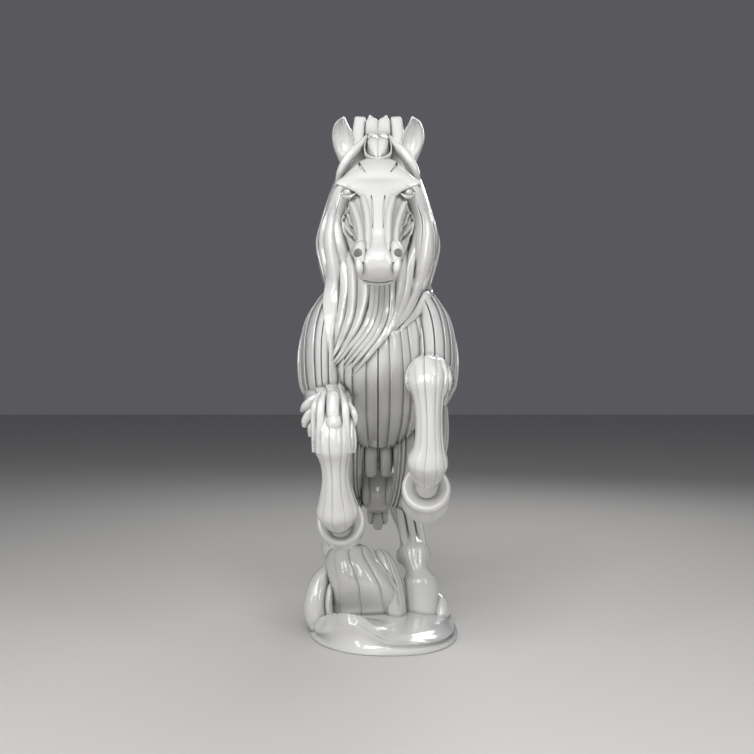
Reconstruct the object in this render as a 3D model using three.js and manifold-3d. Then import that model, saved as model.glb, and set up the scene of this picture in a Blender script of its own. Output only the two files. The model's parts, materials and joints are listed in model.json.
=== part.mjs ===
// A rearing horse statuette, cast in one piece with its base.
// The body is carved all over into long overlapping slats that run down the neck, chest, belly and
// haunches. The horse stands on both hind hooves on a low oval drift with a slatted wave in front
// of one leg; the forelegs are folded and the tail hangs free.
// Frame: millimetres, +Z up, the horse faces -Y, origin under the middle of the bounding box.
import * as THREE from "three";
import Module from "manifold-3d";
import { mergeVertices } from "three/addons/utils/BufferGeometryUtils.js";

const wasm = await Module();
wasm.setup();

// Driving dimensions.
const OVERALL_HEIGHT = 280;
const BASE_WIDTH = 83;
const BASE_DEPTH = 117;
const BASE_RIM = 6; // height of the base's edge
const BASE_CENTRE_X = 2; // the base stands this far to the horse's left of its middle plane
const BASE_CENTRE_Y = 9; // the base's middle, behind the chest
const BASE_CORNER = 0.84; // 1 gives the base an elliptical outline, less squares it off
const BASE_SKEW = 0.06; // the base's front swings this much to the horse's left
const DRAWN_HEIGHT = 280; // every station below is drawn for a statuette this tall
const SLAT_STEP = 1.6; // how far each slat stands over the next
const SLAT_EDGE = 0.2; // share of a slat's width that its raised edge takes
const FACET_TOLERANCE = 0.42; // joined facets this close to flat become one

const ACROSS = new THREE.Vector3(1, 0, 0);

// ---------------------------------------------------------------- solids

// A closed three.js geometry as a manifold-3d solid.
function solidOf(geometry) {
  const bare = geometry.clone();
  bare.deleteAttribute("normal");
  bare.deleteAttribute("uv");
  const merged = mergeVertices(bare, 1e-4);
  return new wasm.Manifold(
    new wasm.Mesh({
      numProp: 3,
      vertProperties: merged.attributes.position.array,
      triVerts: new Uint32Array(merged.index.array),
    }),
  );
}

function geometryOf(solid) {
  const mesh = solid.getMesh();
  return new THREE.BufferGeometry()
    .setAttribute("position", new THREE.BufferAttribute(new Float32Array(mesh.vertProperties), 3))
    .setIndex(new THREE.BufferAttribute(new Uint32Array(mesh.triVerts), 1));
}

// ---------------------------------------------------------------- lofts

// Stations of a limb from rows [x, y, z, half width, half depth]; each ring stands square to the limb.
function limb(rows) {
  const centres = rows.map(([x, y, z]) => new THREE.Vector3(x, y, z));
  return rows.map(([, , , wide, deep], i) => {
    const before = centres[Math.max(i - 1, 0)];
    const after = centres[Math.min(i + 1, rows.length - 1)];
    const along = after.clone().sub(before).normalize();
    const side = ACROSS.clone().addScaledVector(along, -along.x).normalize();
    const front = new THREE.Vector3().crossVectors(along, side);
    return {
      centre: centres[i],
      wide: side.multiplyScalar(wide),
      deep: front.multiplyScalar(deep),
    };
  });
}

// Stations drawn in side view from rows [front y, front z, back y, back z, half width], at x.
function profile(rows, x = () => 0) {
  return rows.map(([frontY, frontZ, backY, backZ, wide], i) => {
    const front = new THREE.Vector3(x(i / (rows.length - 1)), frontY, frontZ);
    const back = new THREE.Vector3(x(i / (rows.length - 1)), backY, backZ);
    return {
      centre: front.clone().add(back).multiplyScalar(0.5),
      wide: new THREE.Vector3(wide, 0, 0),
      deep: front.clone().sub(back).multiplyScalar(0.5),
    };
  });
}

// Angles around a ring, from the front. With slats, each side has a low and a high point to a slat.
function ringAngles(around, slats) {
  if (!slats) return Array.from({ length: around }, (_, i) => ({ angle: (2 * Math.PI * i) / around, lift: 0 }));
  const half = [];
  for (let i = 0; i < slats; i++) {
    half.push({ angle: (Math.PI * i) / slats, lift: 0 });
    half.push({ angle: (Math.PI * (i + SLAT_EDGE)) / slats, lift: 1 });
  }
  const other = half.slice(1).map(({ angle, lift }) => ({ angle: 2 * Math.PI - angle, lift }));
  return [...half, { angle: Math.PI, lift: 0 }, ...other.reverse()];
}

// A closed skin over stations. The rings of a sphere geometry become the rings of the piece.
function loft(stations, { rings = 16, around = 14, slats = 0, lift = SLAT_STEP, corner = 1 } = {}) {
  const curve = (key) => new THREE.CatmullRomCurve3(stations.map((s) => s[key]), false, "catmullrom", 0.5);
  const centres = curve("centre");
  const wides = curve("wide");
  const deeps = curve("deep");
  const ring = ringAngles(around, slats);
  const geometry = new THREE.SphereGeometry(1, ring.length, rings + 1);
  const position = geometry.attributes.position;
  const shaped = (value) => Math.sign(value) * Math.abs(value) ** corner;
  for (let i = 0; i <= rings + 1; i++) {
    const t = THREE.MathUtils.clamp((i - 1) / (rings - 1), 0, 1);
    const pole = i === 0 || i === rings + 1;
    const centre = centres.getPoint(t);
    const wide = wides.getPoint(t);
    const deep = deeps.getPoint(t);
    for (let j = 0; j <= ring.length; j++) {
      const { angle, lift: raised } = ring[j % ring.length];
      const out = wide.clone().multiplyScalar(shaped(Math.sin(angle)));
      out.addScaledVector(deep, shaped(Math.cos(angle)));
      out.setLength(out.length() + raised * lift * slatFade(t));
      const point = pole ? centre : centre.clone().add(out);
      position.setXYZ(i * (ring.length + 1) + j, point.x, point.y, point.z);
    }
  }
  const solid = solidOf(geometry);
  return solid.volume() > 0 ? solid : solidOf(turned(geometry));
}

// Slats die away at both ends of a piece.
function slatFade(t) {
  return Math.min(1, 6 * t, 6 * (1 - t));
}

// The same geometry with its faces turned round.
function turned(geometry) {
  const index = geometry.index.array;
  for (let i = 0; i < index.length; i += 3) [index[i + 1], index[i + 2]] = [index[i + 2], index[i + 1]];
  return geometry;
}

const mirrored = (rows) => rows.map(([x, ...rest]) => [-x, ...rest]);
const sided = (side, rows) => (side > 0 ? rows : mirrored(rows));

// ---------------------------------------------------------------- trunk and neck

function trunk() {
  const rows = [
    [-52, 240, -22, 260, 13],
    [-58, 224, -7, 245, 19],
    [-62, 209, 3, 228, 25],
    [-66, 193, 9, 211, 28],
    [-72, 176, 13, 196, 28],
    [-77, 158, 21, 184, 34],
    [-72, 140, 31, 175, 38],
    [-52, 125, 43, 167, 38],
    [-25, 115, 55, 159, 37],
    [5, 106, 68, 150, 35],
    [30, 100, 81, 139, 33],
    [52, 98, 90, 124, 26],
    [68, 102, 91, 112, 12],
  ];
  return loft(profile(rows), { rings: 19, slats: 10 });
}

// A shoulder is a bulge whose slats run from the neck down to the forearm.
function shoulder(side) {
  const rows = [
    [14, -24, 184, 7, 14],
    [18, -32, 175, 10, 23],
    [24.5, -38, 162, 12.5, 28],
    [27, -44, 150, 12.3, 29],
    [27, -46, 138, 11.5, 24],
    [26, -46, 127, 9, 15],
  ];
  return loft(limb(sided(side, rows)), { rings: 8, slats: 5 });
}

// The mane falls on both sides of the neck as a hood, wider than the neck itself.
function maneSide(side) {
  const rows = [
    [9, -34, 262, 6, 12],
    [12, -32, 246, 7.5, 19],
    [18, -32, 226, 8.5, 24],
    [21.5, -36, 207, 9, 25],
    [21.5, -42, 193, 6.5, 20],
    [20, -46, 178, 4, 12],
  ];
  return loft(limb(sided(side, rows)), { rings: 8, slats: 4 });
}

// Upright locks stand side by side along the crest, and run down to the withers.
function crestLocks() {
  const places = [
    { x: 4.4, top: DRAWN_HEIGHT, half: 5, tip: 1 },
    { x: 10.6, top: DRAWN_HEIGHT - 1.5, half: 3.6, tip: 2.4 },
  ];
  const rows = ({ x, top, half, tip }) => [
    [x * 1.02, -20, top, tip, 1.2],
    [x * 1.02, -20.5, top - 4.5, half, 2.6],
    [x, -19, 266, half, 5],
    [x * 0.9, -13, 256, half, 8],
    [x * 0.85, 0, 241, half, 7.5],
    [x * 0.8, 9, 222, half, 6.5],
    [x * 0.7, 15, 204, half * 0.9, 5],
    [x * 0.5, 19, 190, 1, 1.5],
  ];
  return [1, -1].flatMap((side) =>
    places.map((place) => loft(limb(sided(side, rows(place))), { rings: 9, around: 6 })),
  );
}

// Long tapering locks cross the chest from both sides and gather low on the horse's right.
function chestLocks() {
  const locks = 7;
  const made = [];
  for (let i = 0; i < locks; i++) {
    const share = i / (locks - 1);
    const startX = THREE.MathUtils.lerp(-24, 27, share);
    const endX = THREE.MathUtils.lerp(-27, -3, share);
    const endZ = THREE.MathUtils.lerp(146, 158, share);
    const rows = [];
    for (const t of [0, 0.3, 0.6, 0.85, 1]) {
      const x = THREE.MathUtils.lerp(startX, endX, t ** 1.5);
      const z = THREE.MathUtils.lerp(206, endZ, t);
      const round = 1 - (Math.abs(x) / 42) ** 2;
      const y = THREE.MathUtils.lerp(-56, -68, Math.min(1, 1.6 * t)) * (0.62 + 0.38 * round);
      rows.push([x, y, z, 4.3 * Math.sqrt(1.05 - t), 7 * Math.sqrt(1.05 - t)]);
    }
    made.push(loft(limb(rows), { rings: 6, around: 6 }));
  }
  return made;
}

// ---------------------------------------------------------------- head

function head() {
  const rows = [
    [-46, 255, -30, 236, 12],
    [-60, 247.5, -42, 220, 16.5],
    [-74, 234.5, -53, 208, 17.2],
    [-81, 225, -61, 201, 15],
    [-89, 216, -70, 196, 12],
    [-97, 208, -79, 192, 10],
    [-104, 201, -88, 187.5, 10],
    [-109.5, 195, -94, 183.5, 10],
    [-112, 189.5, -99, 182, 8.4],
    [-110.5, 185, -103, 182, 4.5],
  ];
  const made = [loft(profile(rows), { rings: 12, around: 16, corner: 0.85 })];
  for (const side of [1, -1]) {
    made.push(loft(limb(browRows(side)), { rings: 4, around: 6 }));
    made.push(loft(limb(cheekRows(side)), { rings: 5, around: 8 }));
    made.push(loft(limb(eyeRows(side)), { rings: 4, around: 8 }));
    made.push(loft(limb(nostrilRows(side)), { rings: 4, around: 7 }));
  }
  const holes = [1, -1].map((side) => loft(limb(nostrilHole(side)), { rings: 4, around: 6 }));
  return wasm.Manifold.union(made).subtract(wasm.Manifold.union(holes));
}

// The brow ends in a sharp corner over the eye.
const browRows = (side) =>
  sided(side, [
    [4, -72, 234.5, 4, 4],
    [11, -73, 234.5, 4, 3.5],
    [16, -71, 234, 3, 2.4],
    [19.3, -69, 233.8, 0.6, 0.6],
  ]);

const cheekRows = (side) =>
  sided(side, [
    [9, -50, 226, 5, 8],
    [10.5, -58, 216, 6, 11],
    [9.5, -66, 206, 5, 10],
    [7, -76, 198, 3, 6],
  ]);

const eyeRows = (side) =>
  sided(side, [
    [14.5, -70, 233.5, 1.2, 1.2],
    [14.8, -71.5, 231.5, 2.6, 3],
    [14.5, -73, 229.5, 1.2, 1.2],
  ]);

const nostrilRows = (side) =>
  sided(side, [
    [6.5, -100, 203, 2, 2.5],
    [7.8, -104.5, 199, 3.4, 3.6],
    [8, -107, 193, 3, 3.4],
    [7, -108.5, 188.5, 1.4, 1.8],
  ]);

const nostrilHole = (side) =>
  sided(side, [
    [9.6, -106, 200.5, 1.8, 1.4],
    [10, -108.5, 196, 2.4, 2.2],
    [9.4, -110.5, 191.5, 1.4, 1.2],
  ]);

// An ear is a leaf, hollowed at the front.
function ear(side) {
  const leaf = [
    [13.5, -41, 249, 3.5, 3],
    [16.6, -42, 256, 5.2, 4.6],
    [18.6, -42, 263, 5.2, 4.4],
    [19.2, -41.5, 268.5, 3.8, 3.2],
    [17.2, -41, 273.4, 0.6, 0.6],
  ];
  const hollow = [
    [16.4, -46.5, 254, 1.6, 1.2],
    [18.4, -47.5, 261, 3, 2.6],
    [19.2, -46.5, 267, 2.3, 1.8],
    [18, -44.5, 271.2, 0.5, 0.5],
  ];
  return loft(limb(sided(side, leaf)), { rings: 7, around: 9 }).subtract(
    loft(limb(sided(side, hollow)), { rings: 5, around: 7 }),
  );
}

// Two strands leave the forelock and hook back over the brows, and a curl lies between them.
function forelock() {
  const made = [1, -1].map((side) =>
    loft(
      limb(
        sided(side, [
          [5, -50, 263, 2, 3],
          [9, -56, 257, 2.4, 3.4],
          [14, -58, 247, 2.6, 4],
          [18.5, -54, 240, 2.4, 4],
        ]),
      ),
      { rings: 5, around: 6 },
    ),
  );
  made.push(
    loft(
      limb([
        [0, -46, 266, 8, 5],
        [0, -54, 258, 7.4, 4],
        [0, -60, 250.5, 4.8, 2.6],
        [0, -63, 247.5, 1.2, 1],
      ]),
      { rings: 5, around: 8 },
    ),
  );
  return made;
}

// ---------------------------------------------------------------- legs

const RIGHT_HIND = [
  [20, 60, 140, 13, 24],
  [24, 54, 127, 16, 27],
  [25.5, 38, 111, 15, 24],
  [25, 26, 97, 13, 16.5],
  [20.5, 38, 80, 9.5, 11],
  [17.6, 52, 66.5, 8.8, 9.5],
  [17, 56, 60, 9.2, 8.6],
  [18.6, 42, 51, 6.8, 6.6],
  [20, 27, 43, 7, 7],
  [21, 18, 38.5, 9.8, 8.8],
  [22.4, 13.5, 31, 6.8, 6.8],
  [23.4, 11.5, 26.5, 8.8, 9.2],
];

const LEFT_HIND = [
  [-20, 60, 140, 13, 24],
  [-24, 56, 127, 16, 27],
  [-25.5, 42, 111, 15, 24],
  [-25, 32, 97, 13, 16.5],
  [-21.5, 50, 82, 9.5, 11],
  [-19, 68, 69.5, 8.4, 9.5],
  [-18.5, 72, 63, 8.8, 8.6],
  [-20.5, 60, 52.5, 6.8, 6.6],
  [-23.5, 46, 43.5, 7, 7],
  [-24.2, 38, 38.5, 9.4, 8.8],
  [-24.2, 33.5, 31, 6.8, 6.8],
  [-24.4, 31.5, 26.5, 8.8, 9.2],
];

const RIGHT_FORE = [
  [26, -20, 152, 12, 16],
  [27, -42, 140, 13, 15],
  [26, -62, 138, 10.5, 12],
  [25, -78, 141, 9.2, 9.6],
  [24.3, -87.5, 141.5, 9.8, 8.6],
  [24, -90.5, 134, 9.8, 9.2],
  [23.6, -90, 124, 6.8, 7],
  [23.6, -88.5, 113, 6.4, 6.8],
  [23.8, -87, 105.5, 8.4, 8.2],
  [23.8, -85, 100, 9.6, 9.2],
  [23.6, -78.5, 93, 7, 7.2],
  [23.3, -72, 88.5, 8, 8],
];

const LEFT_FORE = [
  [-26, -20, 150, 12, 16],
  [-26, -42, 134, 13, 15],
  [-24, -62, 125, 11, 12],
  [-21.5, -78, 121, 9.8, 10.6],
  [-20.5, -87, 116.5, 9.8, 9],
  [-20, -89.5, 109.5, 9.6, 9.2],
  [-19.8, -86.5, 101, 7.6, 7.4],
  [-19.4, -82, 92.5, 7, 7],
  [-19.2, -78, 85.5, 8.6, 8.2],
  [-19, -75, 80, 10.3, 9.4],
  [-18.6, -69, 74.5, 7.4, 7.4],
  [-18.3, -63.5, 71, 8, 8],
];

// The slats of an upper arm end in pointed tips round the knee.
function armTips() {
  const tip = (side, x, y, z, lean, length) =>
    loft(
      limb(
        sided(side, [
          [x - lean, y + 14, z + 6, 3, 4],
          [x, y, z, 3.2, 4],
          [x + lean, y - 0.6 * length, z - 0.6 * length, 2.6, 2.8],
          [x + lean * 1.4, y - length, z - length, 0.5, 0.5],
        ]),
      ),
      { rings: 4, around: 6 },
    );
  return [
    tip(-1, 32.5, -56, 132, 3, 10),
    tip(-1, 30.5, -58, 124, 2, 12),
    tip(-1, 14, -66, 124, -2, 9),
    tip(1, 33.5, -50, 138, 1.5, 12),
  ];
}

// A leg that is slatted on its muscle and plain below the joint.
const leg = (rows) => loft(limb(rows), { rings: 21, slats: 4, lift: 0.7 });

// A hoof flares from the coronet to the sole. centre is the coronet's, along points to the sole.
function hoof(centre, along, length, top, sole) {
  const at = (s, wide, deep) => [
    centre[0] + along[0] * s,
    centre[1] + along[1] * s,
    centre[2] + along[2] * s,
    wide,
    deep,
  ];
  const rows = [
    at(-1.5, top * 0.7, top * 0.7),
    at(0, top, top),
    at(length * 0.2, top + 0.6, top + 0.6),
    at(length, sole, sole * 1.04),
  ];
  return loft(limb(rows), { rings: 4, around: 14 });
}

function hooves() {
  return [
    hoof([23.2, -71.5, 87.8], [0, 0.87, -0.5], 10, 11.4, 12.4),
    hoof([-18.2, -63.5, 70.5], [0, 0.8, -0.6], 10, 11.4, 12.4),
    hoof([23.6, 11, 26.8], [0, -0.08, -1], 19, 9.4, 11.6),
    hoof([-24.4, 31, 26.8], [0, -0.08, -1], 19, 9.2, 11.8),
  ];
}

// The tail arches off the croup and hangs behind the hocks.
function tail() {
  const rows = [
    [0, 82, 126, 7, 8],
    [0, 96, 131, 8, 8],
    [0, 108, 122, 10, 9],
    [0, 112, 104, 12, 11],
    [0, 107, 86, 12.5, 12],
    [0, 98, 71, 11, 10],
    [0, 91, 57, 7.5, 8],
    [0, 89, 45, 3, 3],
  ];
  return loft(limb(rows), { rings: 12, slats: 4 });
}

// ---------------------------------------------------------------- base

// Height of the base's top: it swells to the middle, and two drifts run along the front left.
function driftHeight(x, y, rim) {
  const middle = 4.5 * (1 - rim ** 2);
  const drift = (cx, cy, rx, ry, high) => high * Math.exp(-(((x - cx) / rx) ** 2) - ((y - cy) / ry) ** 2);
  return (
    BASE_RIM +
    middle +
    drift(-18, -36, 17, 7, 6) +
    drift(-20, -18, 24, 9, 3) +
    drift(-33, 10, 8, 16, 7) +
    drift(20, 38, 20, 14, 3) +
    drift(33, 20, 7, 12, 3)
  );
}

function baseDrift() {
  const around = 32;
  const rings = 7;
  const geometry = new THREE.SphereGeometry(1, around, rings + 3);
  const position = geometry.attributes.position;
  for (let i = 0; i <= rings + 3; i++) {
    for (let j = 0; j <= around; j++) {
      const angle = (2 * Math.PI * (j % around)) / around;
      const top = i <= rings;
      const share = top ? (i / rings) ** 0.75 : i === rings + 3 ? 0 : 1;
      const flare = top ? 0.965 : 1;
      const squared = (value) => Math.sign(value) * Math.abs(value) ** BASE_CORNER;
      const behind = (-BASE_DEPTH / 2) * share * flare * squared(Math.sin(angle));
      const x = BASE_CENTRE_X + (BASE_WIDTH / 2) * share * flare * squared(Math.cos(angle)) - BASE_SKEW * behind;
      const y = BASE_CENTRE_Y + behind;
      const z = top ? driftHeight(x, y, share) : i === rings + 1 ? 1.5 : 0;
      position.setXYZ(i * (around + 1) + j, x, y, z);
    }
  }
  const solid = solidOf(geometry);
  return solid.volume() > 0 ? solid : solidOf(turned(geometry));
}

// A wave rises from the base, leans forward and folds back under, carved into broad slats.
function wave() {
  const rows = [
    [0, 47, 12, 46, 7],
    [-7, 47.5, 15, 40, 12],
    [-14, 42, 17, 32, 15],
    [-17, 33, 17, 24, 18],
    [-14.5, 22, 17, 16, 20],
    [-11, 12, 17, 8, 22],
    [-11, 6, 17, 5, 22],
  ];
  const drift = (t) => THREE.MathUtils.lerp(-17, -6, Math.min(1, 1.3 * t));
  return loft(profile(rows, drift), { rings: 9, slats: 6, corner: 0.85 });
}

// A smooth crest curls up on the outer side of the wave.
function crest() {
  const rows = [
    [-33, -24, 8, 6, 7],
    [-36, -14, 15, 5.5, 8],
    [-34, -4, 24, 4.5, 7],
    [-29, 2, 31, 2.6, 4],
    [-26, 4, 34, 0.8, 1],
  ];
  return loft(limb(rows), { rings: 6, around: 8 });
}

// ---------------------------------------------------------------- the statuette

const pieces = [
  trunk(),
  shoulder(1),
  shoulder(-1),
  maneSide(1),
  maneSide(-1),
  ...crestLocks(),
  ...chestLocks(),
  head(),
  ear(1),
  ear(-1),
  ...forelock(),
  leg(RIGHT_HIND),
  leg(LEFT_HIND),
  leg(RIGHT_FORE),
  leg(LEFT_FORE),
  ...armTips(),
  ...hooves(),
  tail(),
  baseDrift(),
  wave(),
  crest(),
];

// Casting leaves no sealed pockets between overlapping slats, so only the outer skin is kept.
function outerSkin(solid) {
  const skins = solid.decompose().filter((skin) => skin.volume() > 0);
  return skins.reduce((largest, skin) => (skin.volume() > largest.volume() ? skin : largest));
}

const whole = outerSkin(wasm.Manifold.union(pieces).simplify(FACET_TOLERANCE));
const { min, max } = whole.boundingBox();
const scale = OVERALL_HEIGHT / DRAWN_HEIGHT;
const statuette = new THREE.Mesh(
  geometryOf(whole.translate([-(min[0] + max[0]) / 2, -(min[1] + max[1]) / 2, -min[2]]).scale(scale)),
  new THREE.MeshStandardMaterial({ color: 0xdedfdc, roughness: 0.18, metalness: 0 }),
);
statuette.name = "horse_statuette";

const group = new THREE.Group();
group.add(statuette);
export default group;
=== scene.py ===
# %% [markdown]
# # A rearing horse statuette in glossy white resin
# This lesson builds a cast statuette of a rearing horse on a base shaped like a snow drift. Its body
# is carved all over into long planks that overlap like shingles. Such a figure could be sculpted by
# hand or pushed out of one dense mesh, but then every plank edge would be soft. Here each muscle,
# lock and leg is a closed skin of its own with the planks already in it. The skins overlap, and at
# the end they are joined into one solid and cut, the way a carver adds and takes away.

# %% Tools and the frame
import json
import math

import bpy
import numpy as np
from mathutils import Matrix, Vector
from mathutils.bvhtree import BVHTree

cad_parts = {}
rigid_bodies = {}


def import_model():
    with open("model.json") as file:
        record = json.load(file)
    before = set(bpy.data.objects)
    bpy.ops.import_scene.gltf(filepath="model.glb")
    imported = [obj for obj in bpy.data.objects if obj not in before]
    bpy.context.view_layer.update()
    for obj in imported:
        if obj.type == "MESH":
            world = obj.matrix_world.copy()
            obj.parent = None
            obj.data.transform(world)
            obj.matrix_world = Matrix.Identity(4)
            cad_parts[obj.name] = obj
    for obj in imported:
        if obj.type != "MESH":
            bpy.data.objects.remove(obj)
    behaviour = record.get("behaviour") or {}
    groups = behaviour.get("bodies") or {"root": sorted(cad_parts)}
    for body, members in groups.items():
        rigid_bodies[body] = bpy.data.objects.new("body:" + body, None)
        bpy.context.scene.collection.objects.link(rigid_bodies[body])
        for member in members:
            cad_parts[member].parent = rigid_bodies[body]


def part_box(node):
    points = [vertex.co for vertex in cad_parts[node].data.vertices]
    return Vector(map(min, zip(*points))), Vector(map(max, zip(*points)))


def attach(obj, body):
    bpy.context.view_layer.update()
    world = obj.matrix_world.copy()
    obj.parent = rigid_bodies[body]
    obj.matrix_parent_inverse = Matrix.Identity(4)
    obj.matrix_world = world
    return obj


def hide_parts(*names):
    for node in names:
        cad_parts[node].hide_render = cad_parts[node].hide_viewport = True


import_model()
NODE = "horse_statuette"
LOW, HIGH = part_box(NODE)
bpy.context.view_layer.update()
print("frame box", [round(v, 4) for v in (*LOW, *HIGH)])

# %% [markdown]
# Every place below is drawn in millimetres, for a statuette 280 mm tall that faces -Y. It could be
# written in metres, but small whole numbers are easier to read and change. Two drawn limits, the
# left edge of the outline and the tip of the muzzle, tie the drawing to the frame.

# %% From drawn millimetres to the frame
DRAWN_HEIGHT = 280.13
DRAWN_LEFT = -41.34
DRAWN_FRONT = -111.97
MM = (HIGH.z - LOW.z) / DRAWN_HEIGHT
SHIFT = np.array([LOW.x - DRAWN_LEFT * MM, LOW.y - DRAWN_FRONT * MM, LOW.z])
ACROSS = np.array([1.0, 0.0, 0.0])


def placed(points):
    """Drawn millimetres as metres in the frame."""
    return np.asarray(points, float) * MM + SHIFT


def unit(vectors):
    """Vectors of length one."""
    return vectors / np.linalg.norm(vectors, axis=-1, keepdims=True)


print("one drawn millimetre is", round(MM * 1000, 4), "mm")

# %% [markdown]
# A limb is drawn by a few stations: where its middle is, and how far it reaches to the side and to
# the front. A chain of cylinders would show its joints, so a smooth Catmull-Rom curve runs through
# the stations and gives every ring in between.

# %% The curve through a few rows
def through(rows, t):
    """The Catmull-Rom curve through rows, read at each t from 0 to 1."""
    rows = np.asarray(rows, float)
    ends = np.vstack([2 * rows[0] - rows[1], rows, 2 * rows[-1] - rows[-2]])
    place = np.clip(t, 0, 1) * (len(rows) - 1)
    i = np.minimum(place.astype(int), len(rows) - 2)
    f = (place - i)[:, None]
    a, b, c, d = (ends[i + k] for k in range(4))
    return 0.5 * (2 * b + (c - a) * f + (2 * a - 5 * b + 4 * c - d) * f**2 + (3 * b - a - 3 * c + d) * f**3)


print("halfway from 0 to 1 the curve reads", through([[0.0], [1.0]], np.array([0.5]))[0, 0])


# %% Stations of a limb, and of a body drawn in side view
def limb(rows):
    """Stations from rows [x, y, z, half width, half depth], each ring square to the limb."""
    rows = np.array(rows, float)
    along = unit(np.gradient(rows[:, :3], axis=0))
    side = unit(ACROSS - along * along[:, :1])
    return np.hstack([rows[:, :3], side * rows[:, 3:4], np.cross(along, side) * rows[:, 4:5]])


def profile(rows, x=0.0):
    """Stations from rows [front y, front z, back y, back z, half width], drawn in side view."""
    rows = np.array(rows, float)
    x = np.broadcast_to(x, len(rows))
    front = np.column_stack([x, rows[:, 0:2]])
    back = np.column_stack([x, rows[:, 2:4]])
    return np.hstack([(front + back) / 2, ACROSS * rows[:, 4:5], (front - back) / 2])


def sided(side, rows):
    """Rows for the horse's left (+1) as drawn, or for its right (-1) mirrored."""
    return [[side * row[0], *row[1:]] for row in rows]


SAMPLE = limb([[0, 0, 0, 1, 1], [0, 0, 1, 1, 1]])
print("a station holds", SAMPLE.shape[1], "numbers")

# %% [markdown]
# The rings carry the carving. A plank, or slat, is narrow at its raised edge and then falls away to
# the next one, like a roof shingle. A bump in the finish could fake it, but the outline would stay
# smooth, so each ring is a list of angles with a height for each, and the steps are real.

# %% Rings, plain or carved into slats
SLAT_STEP = 1.7  # how far a slat's raised edge stands over the next slat, in drawn millimetres
# Share of the way across a slat, and height as a share of the step.
SLAT_SECTION = [(0.0, 0.0), (0.06, 0.85), (0.14, 1.0), (0.5, 0.74), (0.86, 0.4)]
WIDTH_WAVE = 2.4  # radians from one slat to the next in the wave that makes their widths uneven


def plain_ring(around):
    """Evenly spaced angles at height 0."""
    return np.column_stack([np.linspace(0, 2 * np.pi, around, endpoint=False), np.zeros(around)])


def stepped(edges):
    """Angles and heights of the slats between these edges, given in radians."""
    return [(a + p * (b - a), h) for a, b in zip(edges[:-1], edges[1:]) for p, h in SLAT_SECTION]


def slatted_ring(slats, uneven=0.25, phase=0.0):
    """A ring with this many slats on each side, from the front to the back."""
    widths = 1 + uneven * np.sin(WIDTH_WAVE * np.arange(slats) + phase)
    edges = np.concatenate([[0], np.cumsum(widths)]) / widths.sum() * np.pi
    half = stepped(edges)
    other = [(2 * np.pi - angle, height) for angle, height in half[1:]]
    return np.array([*half, (np.pi, 0.0), *reversed(other)])


def creased_ring(edges):
    """A ring with a raised plank edge at each of these angles, in degrees."""
    return np.array(stepped([math.radians(edge) for edge in edges]))


print("a ring of 9 slats a side has", len(slatted_ring(9)), "points")

# %% [markdown]
# A skin starts as a flat grid, the way a sheet of clay is rolled: its columns go round the ring
# and its rows go along the limb. Extruding a circle once for each ring would need one operation for
# each row of points. A grid gives them all at once, and merging the seam and the two end rows
# closes it. A skin has to be closed and face outwards, or the joining at the end drops it.

# %% The points of a skin
def rounded(values, power):
    """Sines or cosines bent towards a box (power below 1) or towards a diamond (above 1)."""
    return np.sign(values) * np.abs(values) ** power


def skin_points(stations, ring, rings, lift=SLAT_STEP, corner=1.0, fade=6.0, twist=0.0):
    """Points of a skin, one row for each ring and one more at each end. A row ends where it starts.

    Lift is the height of the slats along the skin, fade how soon they reach it from the two ends, and
    twist how far the ring turns on the way, in radians.
    """
    t = np.clip(np.linspace(-1, rings, rings + 2) / (rings - 1), 0, 1)
    centre, wide, deep = np.split(through(stations, t), 3, axis=1)
    turned = ring[None, :, 0] + twist * t[:, None]
    out = wide[:, None] * rounded(np.sin(turned), corner)[..., None]
    out += deep[:, None] * rounded(np.cos(turned), corner)[..., None]
    length = np.maximum(np.linalg.norm(out, axis=2, keepdims=True), 1e-6)
    step = np.interp(t, np.linspace(0, 1, np.size(lift)), np.atleast_1d(lift))
    near_end = np.minimum(1, np.minimum(fade * t, fade * (1 - t)))
    out *= (length + (step * near_end)[:, None, None] * ring[None, :, 1:]) / length
    out[[0, -1]] = 0
    points = centre[:, None] + out
    return np.concatenate([points, points[:, :1]], axis=1)


print("a small skin is a grid of", skin_points(SAMPLE, plain_ring(8), 4).shape)


# %% A grid rolled into a closed skin
MERGE = 0.02  # points closer than this, in drawn millimetres, become one


def only(thing):
    """Select one object and nothing else."""
    bpy.ops.object.select_all(action="DESELECT")
    thing.select_set(True)
    bpy.context.view_layer.objects.active = thing


def volume_of(thing):
    """The volume inside a closed skin, below zero when its faces point inwards."""
    thing.data.calc_loop_triangles()
    corners = np.empty(len(thing.data.vertices) * 3)
    thing.data.vertices.foreach_get("co", corners)
    index = np.empty(len(thing.data.loop_triangles) * 3, int)
    thing.data.loop_triangles.foreach_get("vertices", index)
    a, b, c = corners.reshape(-1, 3)[index].reshape(-1, 3, 3).transpose(1, 0, 2)
    return np.einsum("ij,ij->", a, np.cross(b, c)) / 6


def rolled(points):
    """A closed skin of a grid of points."""
    rows, columns, _ = points.shape
    bpy.ops.object.select_all(action="DESELECT")
    bpy.ops.mesh.primitive_grid_add(x_subdivisions=columns - 1, y_subdivisions=rows - 1)
    closed = bpy.context.object
    closed.data.vertices.foreach_set("co", placed(points).astype(np.float32).ravel())
    bpy.ops.object.mode_set(mode="EDIT")
    bpy.ops.mesh.select_all(action="SELECT")
    bpy.ops.mesh.remove_doubles(threshold=MERGE * MM)
    bpy.ops.mesh.normals_make_consistent(inside=False)
    bpy.ops.object.mode_set(mode="OBJECT")
    if volume_of(closed) < 0:
        only(closed)
        bpy.ops.object.mode_set(mode="EDIT")
        bpy.ops.mesh.flip_normals()
        bpy.ops.object.mode_set(mode="OBJECT")
    return closed


def skin(stations, ring=24, rings=24, **shape):
    """A closed skin. The ring is a list of angles and heights, or a number of even angles."""
    ring = plain_ring(ring) if isinstance(ring, int) else ring
    return rolled(skin_points(stations, ring, rings, **shape))


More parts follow.
